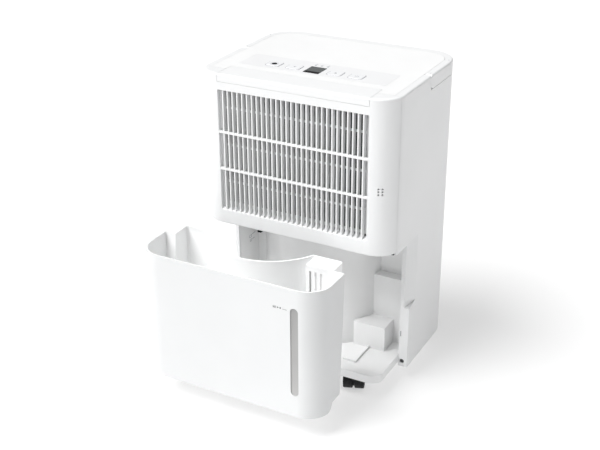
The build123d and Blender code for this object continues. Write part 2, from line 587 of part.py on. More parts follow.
def make_caster_wheels(name):
    wheels = []
    for s in (-1, 1):
        inner, outer = s * WHEEL_GAP / 2, s * (WHEEL_GAP / 2 + WHEEL_WIDTH)
        wheel = rod(WHEEL_R, (inner, CASTER_TRAIL, WHEEL_R), (outer, CASTER_TRAIL, WHEEL_R))
        wheel = fillet(wheel.edges().filter_by(GeomType.CIRCLE), WHEEL_EDGE)
        wheel -= rod(AXLE_R, (inner - s, CASTER_TRAIL, WHEEL_R), (outer - s * 3, CASTER_TRAIL, WHEEL_R))
        wheels.append(caster_frame(name) * wheel)
    return group(wheels)


def make_caster_axle(name):
    reach = WHEEL_GAP / 2 + WHEEL_WIDTH - 3
    return caster_frame(name) * rod(AXLE_R, (-reach, CASTER_TRAIL, WHEEL_R), (reach, CASTER_TRAIL, WHEEL_R))


# ---------------------------------------------------------------- tank
def drawn_out(solid):
    return Pos(TANK_DRAWN_OUT[0], TANK_DRAWN_OUT[1], 0) * solid


def tank_form(inset, low, high):
    """The tank's outer form, or its inside: a broad front, and a narrower part behind it."""
    front = plan(TANK_HALF - inset, FRONT + inset, back(TANK_EAR_TOP + 20), TANK_CORNER - inset, 0)
    band = slab(front, low, high)
    lower_edges = band.faces().sort_by(Axis.Z)[0].edges()
    round_edges = lower_edges.filter_by(lambda e: e.center().Y < back(TANK_EAR_TOP + 19))
    band = fillet(round_edges, TANK_FOOT_ROUND - inset)
    # the ears' rear edge leans in towards the foot
    slope = (TANK_EAR_TOP - TANK_EAR_FOOT) / (TANK_HIGH - TANK_LOW)
    rear_low = TANK_EAR_FOOT - inset + slope * (low - 1 - TANK_LOW)
    rear_high = TANK_EAR_FOOT - inset + slope * (high + 1 - TANK_LOW)
    band -= side_prism([(back(rear_low), low - 1), (back(rear_high), high + 1),
                        (back(200), high + 1), (back(200), low - 1)], -HALF - 5, HALF + 5)
    left, right, rear = TANK_REAR_LEFT + inset, TANK_REAR_RIGHT - inset, TANK_REAR - inset
    cut = TANK_REAR_CHAMFER
    tail_face = polygon([(left, back(40)), (right, back(40)), (right, back(rear - cut)),
                         (right - cut, back(rear)), (left + cut, back(rear)), (left, back(rear - cut))])
    form = band + slab(tail_face, low, high)
    x, front_of_notch, top = TANK_NOTCH
    form -= block(x - inset, HALF + 5, back(front_of_notch - inset), back(200), low - 5, top + inset)
    return form - rod(HOUSING_R + TANK_ARC_GAP + inset, (*housing_axis(), low - 5),
                      (*housing_axis(), high + 5))


def make_tank_shell():
    shell = tank_form(0, TANK_LOW, TANK_HIGH) + make_tank_lip()
    inside = tank_form(TANK_WALL, TANK_LOW + TANK_WALL, TANK_HIGH + 5)
    x0, x1, front, top = RIB_CLEARANCE
    rear = back(TANK_NOTCH[1] + 5)
    inside -= block(x0 - TANK_WALL, x1 + TANK_WALL, back(front - TANK_WALL), rear, TANK_LOW, top + TANK_WALL)
    shell -= inside
    shell -= block(x0, x1, back(front), rear, TANK_LOW - 1, top)
    shell -= window_slot(0.05, -1, 1.9)
    shell -= window_slot(-1.5, -1, 10)
    return shell


def make_tank_lip():
    """A thin skirt below the tank's front, round both corners, ending in a curve at the sides."""
    low, high = LIP_LOW, TANK_LOW + TANK_FOOT_ROUND
    lip = slab(plan(TANK_HALF, FRONT, back(LIP_BACK + 20), TANK_CORNER, 0), low, high)
    lower_edges = lip.faces().sort_by(Axis.Z)[0].edges()
    lip = fillet(lower_edges.filter_by(lambda e: e.center().Y < back(LIP_BACK + 19)), LIP_EDGE)
    lip -= slab(plan(TANK_HALF - LIP_WALL, FRONT + LIP_WALL, back(LIP_BACK + 40), TANK_CORNER - LIP_WALL, 0),
                low - 1, TANK_LOW)
    lip -= tank_form(TANK_WALL, TANK_LOW + TANK_WALL, high + 5)
    ends = block(-HALF, HALF, back(LIP_BACK - (high - low)), back(LIP_BACK + 30), low - 1, high + 1)
    return lip - (ends - rod(high - low, (-HALF - 1, back(LIP_BACK - (high - low)), high),
                             (HALF + 1, back(LIP_BACK - (high - low)), high)))


def window_slot(margin, y_from, y_to):
    face = Plane.XZ * (Pos(WINDOW_X, (WINDOW_LOW + WINDOW_HIGH) / 2) * SlotOverall(
        WINDOW_HIGH - WINDOW_LOW + 2 * margin, WINDOW_WIDTH + 2 * margin, rotation=90))
    return Pos(0, back(y_to), 0) * extrude(face, y_to - y_from)


def make_tank_window():
    """A clear strip set a little below the tank's face, with a shoulder that seats in the wall."""
    return window_slot(0.05, 1.1, 1.9) + window_slot(-1.5, 1.1, TANK_WALL)


def make_float_cage():
    x0, x1, front, rear, z0, z1 = CAGE
    wall = CAGE_WALL
    cage = block(x0, x1, back(front), back(rear), z0, z1)
    cage -= block(x0 + wall, x1 - wall, back(front + wall), back(rear - wall), z0 + wall, z1 - wall)
    for x in CAGE_SLOTS:
        cage -= block(x, x + CAGE_SLOT_WIDTH, back(front - 1), back(front + wall + 0.5), z0 + 8, z1 - 8)
    cage -= block(x0 + 8, x1 - 8, back(front + 5), back(rear - 5), z0 - 1, z0 + wall + 0.5)
    corner = polygon([(x1 - CAGE_CORNER, back(rear + 1)), (x1 + 1, back(rear + 1)),
                      (x1 + 1, back(rear - CAGE_CORNER))])
    cage -= slab(corner, z0 - 1, z1 + 1)
    return cage - rod(HOUSING_R + TANK_ARC_GAP + TANK_WALL + 0.3, (*housing_axis(), 0),
                      (*housing_axis(), 300))


def make_float():
    x0, x1, front, rear, z0, _ = CAGE
    body = block(x0 + 7, x1 - 3.2, back(front + 3.4), back(rear - 3.2), z0 + 2, z0 + 2 + FLOAT_HEIGHT)
    return fillet(body.edges().filter_by(Axis.Z), 2.5) - make_float_magnet()


def make_float_magnet():
    x0, x1, front, rear, z0, _ = CAGE
    x, y, top = (x0 + x1) / 2 + 2, back((front + rear) / 2), z0 + 2 + FLOAT_HEIGHT
    return rod(MAGNET_R, (x, y, top - MAGNET_HEIGHT), (x, y, top))


# ---------------------------------------------------------------- inside
def make_divider():
    """The floor of the upper chamber, which is the ceiling of the tank bay."""
    fit = WALL + SIDE_FIT
    face = plan(HALF - fit, back(COVER_DEPTH + SEAM + 0.2), REAR - fit, 0, REAR_CORNER - fit)
    plate = slab(face, DIVIDER_LOW, DIVIDER_TOP)
    plate -= rod(SPOUT_R, (SPOUT_X, back(SPOUT_BACK), 200), (SPOUT_X, back(SPOUT_BACK), 240))
    for x, y in PIPE_FEET:
        plate -= rod(6.0, (x, y, 200), (x, y, 240))
    return plate & body_form(fit, 0, HEIGHT)


def make_drip_spout():
    return tube(SPOUT_R, SPOUT_R - SPOUT_WALL, (SPOUT_X, back(SPOUT_BACK), DIVIDER_LOW - 2.8),
                (SPOUT_X, back(SPOUT_BACK), DIVIDER_TOP + 2.0))


def make_drip_tray():
    z0 = DIVIDER_TOP + 2.0
    tray = block(-104, 104, back(14), back(70), z0, z0 + 12)
    tray -= block(-102, 102, back(16), back(68), z0 + 2, z0 + 20)
    return tray - rod(SPOUT_R - SPOUT_WALL, (SPOUT_X, back(SPOUT_BACK), z0 - 5),
                      (SPOUT_X, back(SPOUT_BACK), z0 + 5))


def make_coil(span):
    """Fins on two rows of tubes, with the tube bends outside the end plates."""
    y0, y1 = back(span[0]) + COIL_TUBE_INSET, back(span[1]) - COIL_TUBE_INSET
    end, tip = COIL_HALF + COIL_FIN, COIL_HALF + COIL_TUBE_END
    coil = block(-end, -COIL_HALF, back(span[0]), back(span[1]), COIL_LOW, COIL_HIGH)
    for i in range(1, COIL_FINS):
        x = -COIL_HALF + 2 * COIL_HALF / (COIL_FINS - 1) * i
        coil += block(x - COIL_FIN / 2, x + COIL_FIN / 2, back(span[0]), back(span[1]), COIL_LOW, COIL_HIGH)
    for i in range(COIL_ROWS):
        z = COIL_LOW + COIL_FIRST_ROW + COIL_ROW_PITCH * i
        for y in (y0, y1):
            coil += rod(PIPE_R, (-tip, y, z), (tip, y, z))
        for inner in (-tip, tip - COIL_BEND):
            coil += block(inner, inner + COIL_BEND, y0, y1, z - COIL_BEND_HALF, z + COIL_BEND_HALF)
    return coil


def make_fan_shroud():
    z0 = DIVIDER_TOP
    shroud = block(-104, 104, back(72), back(75), z0, 402)
    mouth = FAN_R + FAN_TIP_GAP
    ring = tube(mouth + WALL, mouth, (0, back(72), FAN_Z), (0, back(106), FAN_Z))
    shroud -= rod(mouth, (0, back(70), FAN_Z), (0, back(80), FAN_Z))
    return shroud + ring


def make_fan_wheel():
    """An axial wheel: hub, pitched blades and the hole for the motor's shaft."""
    y0, y1 = back(FAN_FRONT), back(FAN_REAR)
    wheel = rod(FAN_HUB_R, (0, y0, FAN_Z), (0, y1, FAN_Z))
    root = FAN_HUB_R - 1
    blade = (Pos(0, (y0 + y1) / 2, FAN_Z + (root + FAN_R) / 2) * Rot(0, 0, BLADE_PITCH_ANGLE)
             * Box(26, 2.2, FAN_R - root))
    for i in range(FAN_BLADES):
        wheel += Pos(0, 0, FAN_Z) * Rot(0, 360.0 / FAN_BLADES * i, 0) * Pos(0, 0, -FAN_Z) * blade
    return wheel - rod(FAN_SHAFT_R, (0, y0 - 1, FAN_Z), (0, y1 + 1, FAN_Z))


def make_fan_shaft():
    return rod(FAN_SHAFT_R, (0, back(FAN_FRONT), FAN_Z), (0, back(MOTOR_FRONT + 20), FAN_Z))


def make_fan_motor():
    """The motor's can, on a bracket that stands on the divider."""
    z0, plate = DIVIDER_TOP, 3.0
    motor = rod(MOTOR_R, (0, back(MOTOR_FRONT), FAN_Z), (0, back(MOTOR_REAR), FAN_Z))
    motor += block(-40, 40, back(117), back(144), z0, z0 + plate)
    motor += block(-26, 26, back(118), back(140), z0 + plate, FAN_Z)
    motor -= block(-20, 20, back(110), back(150), z0 + plate, FAN_Z - MOTOR_R - 4)
    return motor - rod(FAN_SHAFT_R + RUNNING_GAP, (0, back(100), FAN_Z), (0, back(MOTOR_FRONT + 22), FAN_Z))


def make_outlet_grille():
    """The rear outlet: a frame with sloping louvres and three posts, set in the rear wall."""
    half, low, high = OUTLET_HALF - 0.3, OUTLET_LOW + 0.3, OUTLET_HIGH - 0.3
    grille = block(-half, half, REAR - 6, REAR - 0.4, low, high)
    grille -= block(-half + 3, half - 3, REAR - 20, REAR + 5, low + 3, high - 3)
    for x in OUTLET_POSTS:
        grille += block(x - 1.2, x + 1.2, REAR - 6, REAR - 1, low, high)
    for i in range(LOUVRE_COUNT):
        z = low + 10 + LOUVRE_PITCH * i
        louvre = [(REAR - 6, z + 3.2), (REAR - 0.8, z), (REAR - 0.8, z + 1.6), (REAR - 6, z + 4.8)]
        grille += side_prism(louvre, -half + 1, half - 1)
    return grille


def make_compressor():
    """The hermetic pot with its domed ends, feet plate and tube stubs."""
    x, y = housing_axis()
    z0, z1 = POT_LOW, POT_LOW + POT_HEIGHT
    pot = fillet(rod(POT_R, (x, y, z0), (x, y, z1)).edges().filter_by(GeomType.CIRCLE), POT_DOME)
    feet = rod(62, (x, y, z0 - 2.5), (x, y, z0)) & block(x - 62, x + 62, y - 40, y + 62, 0, 200)
    collar = rod(40, (x, y, z0 - 1), (x, y, z0 + 8))
    hollow = rod(POT_R - POT_WALL, (x, y, z0 + POT_WALL + 4), (x, y, z1 - POT_WALL - 4))
    compressor = pot + feet + collar - hollow
    for foot in PIPE_FEET:
        compressor -= rod(PIPE_R, (*foot, z1 - 6), (*foot, z1 + 10))
    for angle, distance in MOUNTS:
        fx, fy = mount_xy(angle, distance)
        compressor -= rod(MOUNT_NECK_R, (fx, fy, z0 - 10), (fx, fy, z0 + 1))
    return compressor


def mount_xy(angle, distance):
    x, y = housing_axis()
    return x + distance * math.cos(math.radians(angle)), y + distance * math.sin(math.radians(angle))


def make_compressor_mounts():
    mounts = []
    for angle, distance in MOUNTS:
        x, y = mount_xy(angle, distance)
        mounts.append(rod(MOUNT_R, (x, y, SHELF_TOP), (x, y, SHELF_TOP + 6.5))
                      + rod(MOUNT_NECK_R, (x, y, SHELF_TOP + 6), (x, y, SHELF_TOP + 9.5)))
    return group(mounts)


def make_refrigerant_pipes():
    """The suction and discharge pipes, from the compressor's dome to the two coils."""
    start_z, (low, high) = POT_LOW + POT_HEIGHT - 6, PIPE_LEVELS
    pipes = []
    for (x, y), span, side in zip(PIPE_FEET, (EVAPORATOR_Y, CONDENSER_Y), (-1, 1)):
        end_x, end_y = side * (COIL_HALF + 18), back(sum(span) / 2)
        path = FilletPolyline((x, y, start_z), (x, y, low), (end_x, y, low), (end_x, y, high),
                              (end_x, end_y, high), (side * (COIL_HALF + 6), end_y, high), radius=PIPE_BEND)
        start = Plane(origin=path @ 0, z_dir=path % 0)
        pipes.append(sweep(start * Circle(PIPE_R), path=path))
    return group(pipes)


def make_capacitor():
    return rod(17, (-100, back(150), DIVIDER_TOP), (-100, back(150), DIVIDER_LOW + 75))


def make_power_board():
    """The mains board on the right, with its transformer, relay and terminal block."""
    z0 = DIVIDER_TOP
    board = block(119, 120.6, back(110), back(172), z0, 380)
    board += block(96, 119.5, back(120), back(150), z0 + 12, z0 + 44)
    board += block(104, 119.5, back(120), back(136), z0 + 60, z0 + 84)
    board += block(106, 119.5, back(142), back(166), z0 + 96, z0 + 112)
    return board


def make_humidity_sensor():
    x = sum(SENSOR_HOLE_X) / 2
    return block(x - 5, x + 4, back(15.0), back(22.0), 295, 312)


def make_tank_sensor():
    """The small black reed switch high up in the bay's left rear corner."""
    return block(-BAY_HALF + 1.8, -BAY_HALF + 7.3, back(118), back(LEFT_WALL_BACK), 147, 152)


def make_drain_port():
    """A pocket in the rear wall with a hose spigot in it, out of the way."""
    cup = rod(DRAIN_POCKET_R - 0.2, (DRAIN_X, REAR - POCKET_DEPTH, DRAIN_Z), (DRAIN_X, REAR - 0.1, DRAIN_Z))
    cup -= rod(DRAIN_POCKET_R - 2.2, (DRAIN_X, REAR - POCKET_DEPTH + 2, DRAIN_Z),
               (DRAIN_X, REAR + 5, DRAIN_Z))
    spigot = rod(SPIGOT_R, (DRAIN_X, REAR - POCKET_DEPTH, DRAIN_Z), (DRAIN_X, REAR - SPIGOT_SINK, DRAIN_Z))
    port = cup + spigot
    return port - rod(SPIGOT_BORE_R, (DRAIN_X, REAR - POCKET_DEPTH - 5, DRAIN_Z),
                      (DRAIN_X, REAR + 5, DRAIN_Z))


def make_drain_plug():
    y = REAR - SPIGOT_SINK
    plug = rod(SPIGOT_BORE_R - RUNNING_GAP, (DRAIN_X, y - 10, DRAIN_Z), (DRAIN_X, y + 1, DRAIN_Z))
    return plug + rod(SPIGOT_R - 0.6, (DRAIN_X, y + 0.2, DRAIN_Z), (DRAIN_X, y + 2.4, DRAIN_Z))


def make_cord_inlet():
    """The ring that the mains lead passes through."""
    ring = tube(GLAND_R - 0.1, LEAD_HOLE_R, (GLAND_X, REAR - 8, GLAND_Z), (GLAND_X, REAR + 0.2, GLAND_Z))
    return ring + tube(GLAND_R + 2.5, LEAD_HOLE_R, (GLAND_X, REAR + 0.2, GLAND_Z),
                       (GLAND_X, REAR + 2.0, GLAND_Z))


# ---------------------------------------------------------------- all nodes
def all_nodes():
    nodes = {
        "cabinet_shell": make_cabinet_shell(),
        "front_cover": make_front_cover(),
        "intake_grille": make_intake_grille(),
        "filter_grip": make_filter_grip(),
        "filter_frame": make_filter_frame(),
        "filter_mesh": make_filter_mesh(),
        "top_cover": make_top_cover(),
        "control_panel": make_control_panel(),
        "mode_button_lens": make_mode_lens(),
        "display_window": make_display_window(),
        "indicator_lamps": make_indicator_lamps(),
        "control_board": make_control_board(),
        "carry_handle": make_carry_handle(),
        "handle_pins": make_handle_pins(),
        "case_screws": group([make_case_screw(*place) for place in screw_places()]),
        "bay_liner": make_bay_liner(),
        "base_tray": make_base_tray(),
        "caster_sockets": make_caster_sockets(),
        "tank_shell": drawn_out(make_tank_shell()),
        "tank_window": drawn_out(make_tank_window()),
        "float_cage": drawn_out(make_float_cage()),
        "float": drawn_out(make_float()),
        "float_magnet": drawn_out(make_float_magnet()),
        "divider": make_divider(),
        "drip_tray": make_drip_tray(),
        "drip_spout": make_drip_spout(),
        "evaporator": make_coil(EVAPORATOR_Y),
        "condenser": make_coil(CONDENSER_Y),
        "fan_shroud": make_fan_shroud(),
        "fan_wheel": make_fan_wheel(),
        "fan_shaft": make_fan_shaft(),
        "fan_motor": make_fan_motor(),
        "outlet_grille": make_outlet_grille(),
        "compressor": make_compressor(),
        "compressor_mounts": make_compressor_mounts(),
        "refrigerant_pipes": make_refrigerant_pipes(),
        "capacitor": make_capacitor(),
        "power_board": make_power_board(),
        "humidity_sensor": make_humidity_sensor(),
        "tank_sensor": make_tank_sensor(),
        "drain_port": make_drain_port(),
        "drain_plug": make_drain_plug(),
        "cord_inlet": make_cord_inlet(),
    }
    for name, x in zip(("mode", "down", "up", "power"), button_centres()):
        nodes[name + "_button"] = make_button(x)
    for place in CASTER_PLACES:
        nodes["caster_hood_" + place] = make_caster_hood(place)
        nodes["caster_wheels_" + place] = make_caster_wheels(place)
        nodes["caster_axle_" + place] = make_caster_axle(place)
    return nodes


os.makedirs("parts", exist_ok=True)
for name, shape in all_nodes().items():
    export_step(shape, "parts/" + name + ".step")
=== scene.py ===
"""Looks for the dehumidifier: materials, small parts, light and camera around the fixed frame."""
import json
import math

import bmesh
import bpy
from mathutils import Matrix, Vector


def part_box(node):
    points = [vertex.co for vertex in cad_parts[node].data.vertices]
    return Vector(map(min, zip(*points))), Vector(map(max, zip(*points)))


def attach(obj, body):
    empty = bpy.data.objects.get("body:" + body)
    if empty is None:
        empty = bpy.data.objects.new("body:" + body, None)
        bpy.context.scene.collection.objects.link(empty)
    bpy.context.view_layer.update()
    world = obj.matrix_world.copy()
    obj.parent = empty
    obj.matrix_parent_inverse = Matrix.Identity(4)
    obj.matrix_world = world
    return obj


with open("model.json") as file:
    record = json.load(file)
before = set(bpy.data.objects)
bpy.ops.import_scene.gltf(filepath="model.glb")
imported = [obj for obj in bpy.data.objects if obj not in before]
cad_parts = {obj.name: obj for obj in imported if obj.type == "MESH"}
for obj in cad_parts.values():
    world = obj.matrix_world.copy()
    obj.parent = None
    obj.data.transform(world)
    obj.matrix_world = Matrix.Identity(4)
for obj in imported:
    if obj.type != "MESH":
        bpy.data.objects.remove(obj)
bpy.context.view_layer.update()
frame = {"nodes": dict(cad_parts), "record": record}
NODES = frame["nodes"]
MM = 0.001
RIGHT, BACK, UP = (1, 0, 0), (0, 1, 0), (0, 0, 1)
CASTERS = ("front_right", "front_left", "rear_right", "rear_left")
KEYS = ("mode", "down", "up", "power")

# sizes and places that the frame's boxes don't give, in mm
TANK_CORNER, TANK_WALL = 31.7, 2.4      # radius of the tank's round front corners, and its wall
DIGITS_START = 6.2                      # where the display turns grey, behind its front edge
THREAD = 1.1                            # pitch of the filter net
FILM = 0.08                             # thickness of a printed mark
BAY_MARK = (104.0, 144.0)               # symbols in the bay, behind the front and above the floor
EDGE_SLOT_SHADE = (125.4, 71.3, 71.5)         # painted shade for the slots beside the bay, from the middle, behind the front and up
HUB_FACE = 14.2                         # from a caster's middle to a wheel's outer face
REAR_PLATE = (-18.0, 190.0)             # blank plate, from the middle and above the floor


def corners(node):
    """The low and high corners of a node's box at rest, in mm."""
    return [Vector(corner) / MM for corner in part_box(node)]


# ---------------------------------------------------------------- material building
class Tree:
    """A short way to write a material's nodes and links."""

    def __init__(self, name):
        self.name = name
        self.mat = bpy.data.materials.new(name)
        self.mat.use_nodes = True
        self.nodes, self.links = self.mat.node_tree.nodes, self.mat.node_tree.links
        self.nodes.clear()
        self.shader = self.nodes.new("ShaderNodeBsdfPrincipled")
        out = self.nodes.new("ShaderNodeOutputMaterial")
        self.links.new(self.shader.outputs[0], out.inputs["Surface"])
        self.place = self.nodes.new("ShaderNodeTexCoord").outputs["Object"]

    def set(self, **values):
        for key, value in values.items():
            self.shader.inputs[key.replace("_", " ")].default_value = value
        return self

    def join(self, source, target):
        self.links.new(source, target)
        return self

    def stretch(self, scale):
        """The place with each axis scaled."""
        node = self.nodes.new("ShaderNodeMapping")
        node.inputs["Scale"].default_value = scale
        self.join(self.place, node.inputs["Vector"])
        return node.outputs["Vector"]

    def along(self, axis, place=None):
        """The place along X, Y or Z, as 0, 1 or 2."""
        node = self.nodes.new("ShaderNodeSeparateXYZ")
        self.join(place or self.place, node.inputs[0])
        return node.outputs[axis]

    def noise(self, scale, detail=2.0, rough=0.5, place=None):
        node = self.nodes.new("ShaderNodeTexNoise")
        node.inputs["Scale"].default_value = scale
        node.inputs["Detail"].default_value = detail
        node.inputs["Roughness"].default_value = rough
        self.join(place or self.place, node.inputs["Vector"])
        return node.outputs["Fac"]

    def spread(self, value, low, high, to_low, to_high):
        """Maps low to high onto to_low to to_high, and holds it there at the ends."""
        node = self.nodes.new("ShaderNodeMapRange")
        for key, number in zip(("From Min", "From Max", "To Min", "To Max"), (low, high, to_low, to_high)):
            node.inputs[key].default_value = number
        self.join(value, node.inputs["Value"])
        return node.outputs["Result"]

    def math(self, kind, a, b=0.0):
        """One calculation; a and b are sockets or numbers."""
        node = self.nodes.new("ShaderNodeMath")
        node.operation = kind
        for socket, value in zip(node.inputs, (a, b)):
            if isinstance(value, (int, float)):
                socket.default_value = value
            else:
                self.join(value, socket)
        return node.outputs[0]

    def blend(self, amount, first, second):
        """Mixes two colours; each is a colour or a socket."""
        node = self.nodes.new("ShaderNodeMix")
        node.data_type = "RGBA"
        self.join(amount, node.inputs[0])
        for socket, value in zip((node.inputs[6], node.inputs[7]), (first, second)):
            if isinstance(value, tuple):
                socket.default_value = value + (1.0,)
            else:
                self.join(value, socket)
        return node.outputs[2]

    def bump(self, height, depth, strength, soften=0.0):
        """Bump of this depth in metres; soften rounds the sharp edges by that radius."""
        node = self.nodes.new("ShaderNodeBump")
        node.inputs["Strength"].default_value = strength
        node.inputs["Distance"].default_value = depth
        self.join(height, node.inputs["Height"])
        if soften:
            edge = self.nodes.new("ShaderNodeBevel")
            edge.samples = 4
            edge.inputs["Radius"].default_value = soften
            self.join(edge.outputs[0], node.inputs["Normal"])
        return self.join(node.outputs[0], self.shader.inputs["Normal"])

    def colour(self, socket):
        return self.join(socket, self.shader.inputs["Base Color"])

    def rough(self, value, swing, scale):
        """Uneven roughness, this far either side of the value."""
        uneven = self.spread(self.noise(scale, 3.0), 0.3, 0.7, value - swing, value + swing)
        return self.join(uneven, self.shader.inputs["Roughness"])


def tint(colour, factor):
    return tuple(min(1.0, c * factor) for c in colour)


def moulded(name, colour, rough, grain=0.00003, grain_scale=2600, soften=0.0006, coat=0.0, **extra):
    """Injection-moulded plastic: slow shade drift, fine grain, flow marks and uneven gloss."""
    t = Tree(name).set(**extra)
    if coat:
        t.set(Coat_Weight=coat, Coat_Roughness=0.12)
    drift = t.spread(t.noise(9, 3.0), 0.35, 0.65, 0.0, 1.0)
    t.colour(t.blend(drift, tint(colour, 0.985), tint(colour, 1.01)))
    t.rough(rough, 0.04, 55)
    flow = t.noise(30, 1.0, place=t.stretch((1.0, 1.0, 0.25)))
    height = t.math("ADD", t.math("MULTIPLY", flow, 0.8), t.noise(grain_scale, 2.0))
    return t.bump(height, grain, 0.7, soften)


def metal(name, colour, rough, stretch=(1, 1, 1)):
    """Uneven bare metal, with fine lines across the axis that is stretched."""
    t = Tree(name).set(Metallic=1.0)
    line = t.noise(900, 3.0, place=t.stretch(stretch))
    t.colour(t.blend(t.spread(t.noise(70, 3.0), 0.35, 0.7, 0, 1), tint(colour, 0.8), tint(colour, 1.05)))
    t.rough(rough, 0.08, 300)
    return t.bump(line, 0.00002, 0.6)


def ink_or_painted_shade(name, colour, rough=0.5):
    """Ink or film, also used for painted shade: hardly any grain, and sharp edges."""
    return moulded(name, colour, rough, grain=0.00001, soften=0.0)


def make_tank_plastic():
    """Milky moulded plastic; its inside is painted brighter and given a faint glow: painted light, standing
    in for light that comes through the walls.
    """
    t = moulded("tank", (0.76, 0.768, 0.772), 0.33, grain=0.000006, grain_scale=500, coat=0.2)
    outer = t.shader.inputs["Base Color"].links[0].from_socket
    low, high = corners("tank_shell")
    middle, half = (low.x + high.x) / 2, (high.x - low.x) / 2
    # how far a point lies beyond the plan's core, which is one corner radius inside the outer face
    sideways = t.math("ABSOLUTE", t.math("SUBTRACT", t.along(0), middle * MM))
    past_x = t.math("MAXIMUM", t.math("SUBTRACT", sideways, (half - TANK_CORNER) * MM))
    past_y = t.math("MAXIMUM", t.math("SUBTRACT", (low.y + TANK_CORNER) * MM, t.along(1)))
    squares = [t.math("MULTIPLY", past, past) for past in (past_x, past_y)]
    reach = t.math("SQRT", t.math("ADD", *squares))
    # the change from inside to outside lies in the middle of the wall
    start, end = (TANK_CORNER - TANK_WALL * share for share in (0.7, 0.3))
    inside = t.spread(reach, start * MM, end * MM, 1.0, 0.0)
    # painted light: the inside is painted brighter than the outer face
    t.colour(t.blend(inside, outer, (0.95, 0.955, 0.955)))
    # painted glow: the inside glows faintly, though the tank holds no lamp
    t.set(Emission_Color=(1.0, 1.0, 1.0, 1.0))
    return t.join(t.math("MULTIPLY", inside, 0.05), t.shader.inputs["Emission Strength"])


def make_rubber():
    t = Tree("rubber").set(Specular_IOR_Level=0.3)
    dust = t.spread(t.noise(160, 4.0, 0.65), 0.5, 0.75, 0.0, 1.0)
    t.colour(t.blend(dust, (0.006, 0.006, 0.007), (0.018, 0.017, 0.017)))
    t.rough(0.50, 0.08, 200)
    return t.bump(t.noise(1700, 3.0), 0.00005, 0.8, 0.0006)


def make_frosted():
    """The level window: frosted clear plastic painted grey, lighter towards the bottom and darker towards
    the top.
    """
    t = Tree("frosted").set(Transmission_Weight=0.25, IOR=1.49, Coat_Weight=0.5, Coat_Roughness=0.06)
    low, high = (corner.z * MM for corner in corners("tank_window"))
    level = t.spread(t.along(2), low, high, 0.8, 0.1)
    shade = t.math("ADD", level, t.spread(t.noise(14, 2.0), 0.3, 0.7, 0.0, 0.2))
    t.colour(t.blend(shade, (0.35, 0.346, 0.346), (0.57, 0.566, 0.56)))
    t.rough(0.35, 0.05, 80)
    return t.bump(t.noise(2400, 2.0), 0.00003, 0.6, 0.0003)


def make_display():
    """A dark display window, black along its front and dim grey where the digits are."""
    t = Tree("display").set(Coat_Weight=0.8, Coat_Roughness=0.04)
    start = corners("display_window")[0].y + DIGITS_START
    digits = t.spread(t.along(1), start * MM, (start + 0.8) * MM, 0.0, 1.0)
    glow = t.blend(t.noise(260, 3.0), (0.09, 0.10, 0.10), (0.19, 0.20, 0.20))
    t.colour(t.blend(digits, (0.004, 0.004, 0.005), glow))
    t.rough(0.16, 0.04, 120)
    return t.bump(t.noise(900, 2.0), 0.000008, 0.4, 0.0003)


def make_net():
    """Fine filter net: a square weave whose holes are painted near black, painted shade for the dark space
    seen through them.
    """
    t = Tree("net")
    fine = t.stretch((1 / (THREAD * MM),) * 3)
    across, tall = (t.math("ABSOLUTE", t.math("SINE", t.math("MULTIPLY", t.along(axis, fine), math.pi)))
                    for axis in (0, 2))
    strand = t.spread(t.math("MULTIPLY", across, tall), 0.25, 0.65, 1.0, 0.0)
    # painted shade: the holes are darker than the strands
    t.colour(t.blend(strand, (0.004, 0.005, 0.006), (0.040, 0.043, 0.047)))
    t.join(t.spread(t.noise(35, 3.0), 0.4, 0.7, 0.633, 0.8), t.shader.inputs["Roughness"])
    return t.bump(strand, 0.0002, 0.8)


def make_lamp():
    t = Tree("lamp").set(Coat_Weight=0.5, Coat_Roughness=0.08)
    t.colour(t.blend(t.noise(500, 2.0), (0.42, 0.46, 0.50), (0.50, 0.54, 0.58)))
    t.rough(0.22, 0.03, 200)
    return t.bump(t.noise(2000, 2.0), 0.00001, 0.5, 0.0002)


